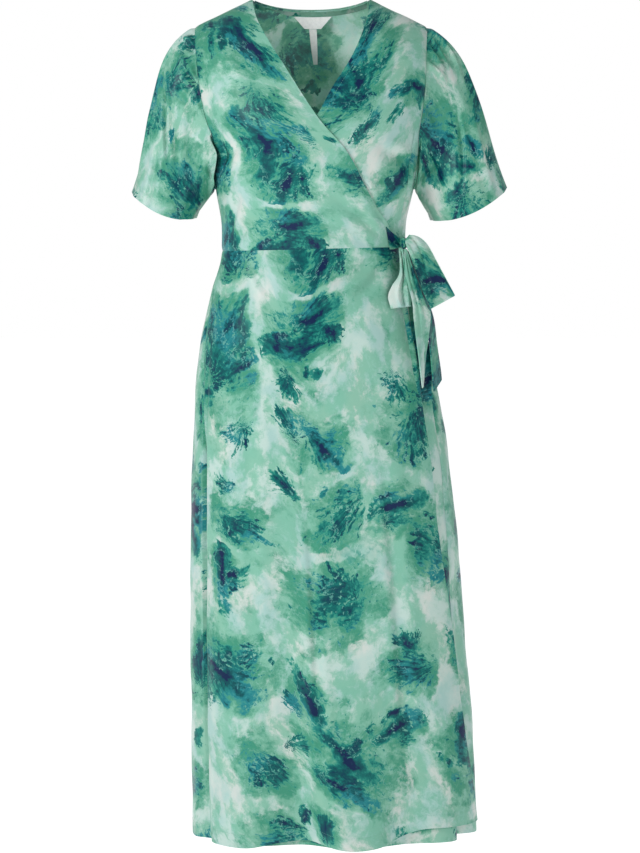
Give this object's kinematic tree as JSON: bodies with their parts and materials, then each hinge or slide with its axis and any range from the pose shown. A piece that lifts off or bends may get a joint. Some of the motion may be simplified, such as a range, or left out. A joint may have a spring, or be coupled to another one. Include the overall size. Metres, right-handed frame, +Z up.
{
  "type": "wrap dress",
  "caption": "worn hollow wrap dress with crossed V neck, short set-in sleeves, side bow and wrapped midi skirt in a tie-dye print",
  "frame": {"origin": "midway between the two neck points, on the line of the shoulder seams, where the wearer's shoulders hold the dress up", "axes": "+Z up, -Y to the front of the dress, +X to the wearer's left, the side of the bow"},
  "size_m": [0.5246, 0.3103, 1.1693],
  "materials": {
    "printed_cloth": "smooth light crepe with a soft satin sheen, printed in mint, jade, teal and navy",
    "sash": "the same printed cloth, doubled and pressed",
    "label": "white woven ribbon, blank"
  },
  "bodies": {
    "root": {"back_bodice": "printed_cloth", "front_bodice_over": "printed_cloth", "front_bodice_under": "printed_cloth", "sleeve_right": "printed_cloth", "sleeve_left": "printed_cloth", "skirt_back": "printed_cloth", "skirt_front_over": "printed_cloth", "skirt_front_under": "printed_cloth", "neck_binding": "printed_cloth", "tie_stub": "sash", "tie_knot": "sash", "loop_right": "sash", "loop_left": "sash", "tail_front": "sash", "tail_side": "sash", "label_woven": "label", "label_strip": "label"}
  },
  "joints": []
}
